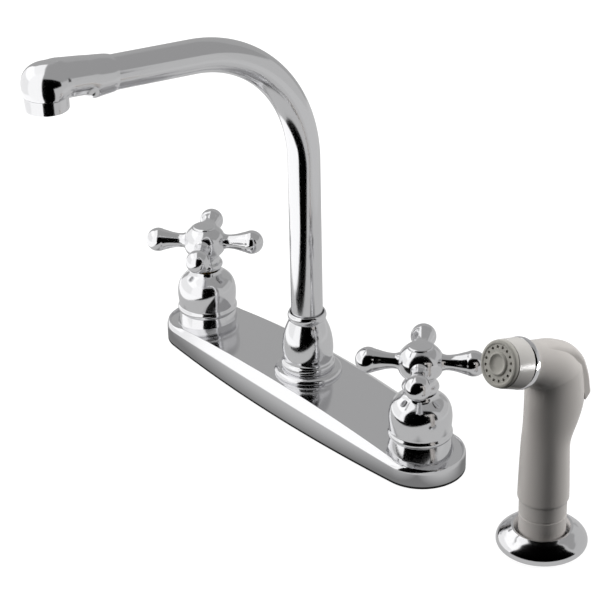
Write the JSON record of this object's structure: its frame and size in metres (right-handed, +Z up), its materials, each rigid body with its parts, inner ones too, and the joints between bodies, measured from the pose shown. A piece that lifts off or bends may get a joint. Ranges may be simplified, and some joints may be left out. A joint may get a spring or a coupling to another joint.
{
  "type": "kitchen faucet",
  "caption": "Deck-mounted chrome kitchen faucet with cross handles, a high swivel spout on a crowned plate and a pull-out side sprayer in a domed holder.",
  "frame": {"origin": "on the deck, on the spout's swivel axis", "axes": "+X along the plate from the left handle to the right, -Y towards the user, +Z up"},
  "size_m": [0.3581, 0.2114, 0.3159],
  "materials": {
    "chrome": "mirror plated",
    "brass": "machined",
    "copper": "drawn tube",
    "steel": "plain",
    "rubber": "moulded",
    "ceramic": "lapped",
    "shell_plastic": "satin moulded",
    "collar_plastic": "gloss moulded",
    "face_plastic": "matte moulded",
    "nylon": "moulded"
  },
  "bodies": {
    "base": {"deck_plate": "chrome", "left_base_ring": "chrome", "right_base_ring": "chrome", "left_bell": "chrome", "right_bell": "chrome", "spout_flange": "chrome", "spout_bell": "chrome", "sprayer_holder": "chrome", "left_valve_body": "brass", "right_valve_body": "brass", "spout_post": "brass", "left_cartridge": "brass", "right_cartridge": "brass", "bonnet_nuts": "brass", "mounting_nuts": "brass", "left_feed_tube": "copper", "right_feed_tube": "copper", "mounting_washers": "steel", "base_gasket": "rubber", "seat_seals": "rubber", "holder_washer": "rubber", "left_fixed_disc": "ceramic", "right_fixed_disc": "ceramic", "holder_nut": "nylon"},
    "spout": {"spout_tube": "chrome", "spout_nozzle": "chrome", "spout_ferrule": "brass", "spout_o_rings": "rubber", "spout_retaining_ring": "nylon", "aerator_housing": "chrome", "aerator_washer": "rubber", "aerator_screen": "steel", "aerator_insert": "nylon"},
    "left_handle": {"left_cross_handle": "chrome", "left_index_cap": "chrome", "left_handle_screw": "steel", "left_stem": "brass", "left_moving_disc": "ceramic", "left_stem_o_ring": "rubber"},
    "right_handle": {"right_cross_handle": "chrome", "right_index_cap": "chrome", "right_handle_screw": "steel", "right_stem": "brass", "right_moving_disc": "ceramic", "right_stem_o_ring": "rubber"},
    "diverter": {"diverter_valve": "nylon"},
    "hose_coupling": {"hose_coupling": "brass", "coupling_washer": "rubber"},
    "sprayer": {"sprayer_shell": "shell_plastic", "head_trim_ring": "chrome", "spray_collar": "collar_plastic", "spray_face": "face_plastic", "trigger_pin": "steel", "valve_seat": "nylon", "valve_spring": "steel"},
    "trigger": {"trigger_lever": "shell_plastic"},
    "plunger": {"valve_plunger": "nylon"}
  },
  "joints": [
    {"name": "spout_swivel", "type": "hinge", "parent": "base", "child": "spout", "pos_m": [0, 0, 0.06], "axis": [0, 0, 1], "continuous": true},
    {"name": "left_handle_turn", "type": "hinge", "parent": "base", "child": "left_handle", "pos_m": [-0.1016, 0, 0.06], "axis": [0, 0, 1], "range_deg": [0, 90]},
    {"name": "right_handle_turn", "type": "hinge", "parent": "base", "child": "right_handle", "pos_m": [0.1016, 0, 0.06], "axis": [0, 0, -1], "range_deg": [0, 90]},
    {"name": "diverter_slide", "type": "slide", "parent": "base", "child": "diverter", "axis": [0, 0, 1], "range_m": [0, 0.003]},
    {"name": "sprayer_lift", "type": "slide", "parent": "base", "child": "hose_coupling", "axis": [0, 0, 1], "range_m": [0, 0.06]},
    {"name": "sprayer_turn", "type": "hinge", "parent": "hose_coupling", "child": "sprayer", "pos_m": [0.2032, -0.0024, 0.05], "axis": [0, 0, 1], "continuous": true},
    {"name": "trigger_press", "type": "hinge", "parent": "sprayer", "child": "trigger", "pos_m": [0.2032, -0.0004, 0.123], "axis": [-1, 0, 0], "range_deg": [0, 8], "stiffness_Nm_per_rad": 0.02, "springref_deg": -5.73},
    {"name": "plunger_slide", "type": "slide", "parent": "sprayer", "child": "plunger", "axis": [0, -0.9461, 0.3239], "range_m": [0, 0.00373], "deforming": ["valve_spring"]}
  ],
  "couplings": [
    {"joint": "trigger_press", "follows": "plunger_slide", "rad_per_m": 37.45}
  ]
}
